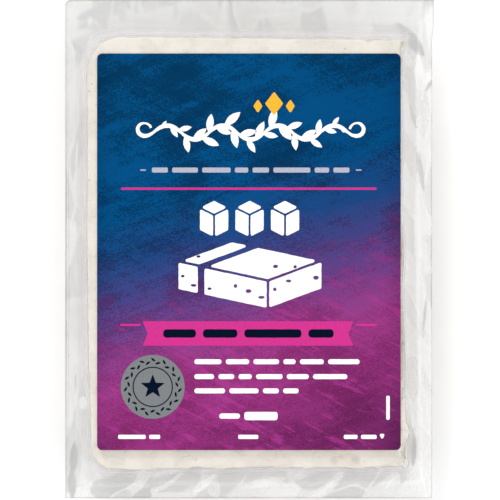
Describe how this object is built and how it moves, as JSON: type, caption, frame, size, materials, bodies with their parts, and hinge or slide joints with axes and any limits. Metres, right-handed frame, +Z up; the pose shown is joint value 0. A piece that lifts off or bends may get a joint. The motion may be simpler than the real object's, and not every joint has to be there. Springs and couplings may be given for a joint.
{
  "type": "vacuum-packed cheese block",
  "caption": "Flat slab of white brined cheese shrink-sealed in a clear film pouch with a flat rim all round and a dark printed label on its upper face.",
  "frame": {"origin": "on the surface the pack lies on, under the middle of the rim's outline", "axes": "+X across the pack towards the slab's cut side, +Y along it towards the head of the label, +Z up through the label"},
  "size_m": [0.085, 0.115, 0.0213],
  "materials": {
    "cheese": "moist fine-grained cream-white curd",
    "film": "clear gloss packing film",
    "label": "satin printed film label, blue to magenta"
  },
  "bodies": {
    "root": {"feta_block": "cheese", "upper_web": "film", "lower_web": "film", "label": "label"}
  },
  "joints": []
}
